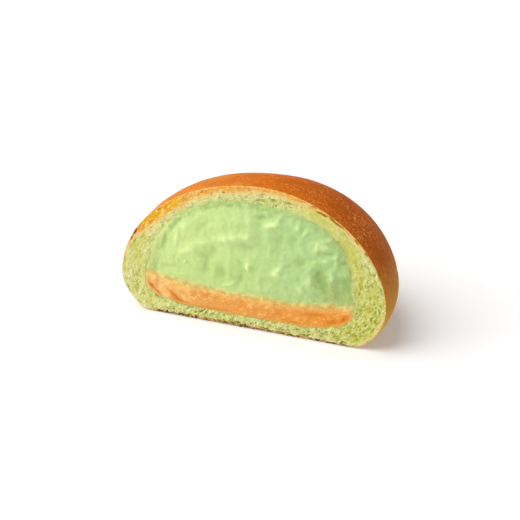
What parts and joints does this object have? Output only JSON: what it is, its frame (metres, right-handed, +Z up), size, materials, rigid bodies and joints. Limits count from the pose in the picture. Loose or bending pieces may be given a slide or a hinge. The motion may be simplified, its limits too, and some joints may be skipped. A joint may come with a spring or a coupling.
{
  "type": "halved cream bun",
  "caption": "Half of a soft round bun, cut upright: a browned domed crust over pale crumb, filled with green cream above a bed of apricot cream.",
  "frame": {"origin": "middle of the base of the bun's bounding box, on the surface it stands on", "axes": "+Z up, +X to the right along the cut face, -Y out of the cut face"},
  "size_m": [0.0922, 0.051, 0.05],
  "materials": {
    "bread": "glossy browned crust outside, soft yellow-green crumb at the cut",
    "green_cream": "smooth moist whipped cream",
    "apricot_cream": "moist, slightly grainy cream"
  },
  "bodies": {
    "root": {"bread": "bread", "green_cream": "green_cream", "apricot_cream": "apricot_cream"}
  },
  "joints": []
}
